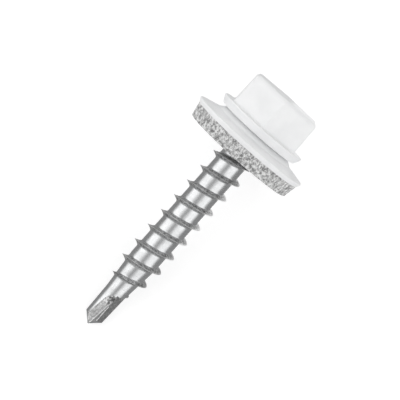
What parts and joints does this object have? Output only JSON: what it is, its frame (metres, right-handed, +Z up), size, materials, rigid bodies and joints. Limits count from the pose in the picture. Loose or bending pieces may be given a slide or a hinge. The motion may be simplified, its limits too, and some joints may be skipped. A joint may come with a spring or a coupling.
{
  "type": "self-drilling screw with sealing washer",
  "caption": "Hex washer-head self-drilling screw with a coarse thread, a fluted drill point, and a white dished washer bonded to a grey rubber seal on its neck.",
  "frame": {"origin": "on the floor, under the middle of the screw's bounding box as it lies at rest", "axes": "+X runs along the screw from the drill point towards the head, which rises 13.8 degrees above the floor; +Z is up; the screw's axis lies in the XZ plane"},
  "size_m": [0.032, 0.014, 0.0136],
  "materials": {
    "zinc_steel": "bright zinc plate",
    "white_coat": "semi-gloss powder coat",
    "seal_rubber": "fine salt-and-pepper grain"
  },
  "bodies": {
    "screw": {"screw": "zinc_steel"},
    "washer": {"metal_washer": "white_coat", "sealing_washer": "seal_rubber"}
  },
  "joints": [
    {"name": "washer_spin", "type": "hinge", "parent": "screw", "child": "washer", "pos_m": [0.00725, 0, 0.00633], "axis": [0.9711, 0, 0.2386], "continuous": true}
  ]
}
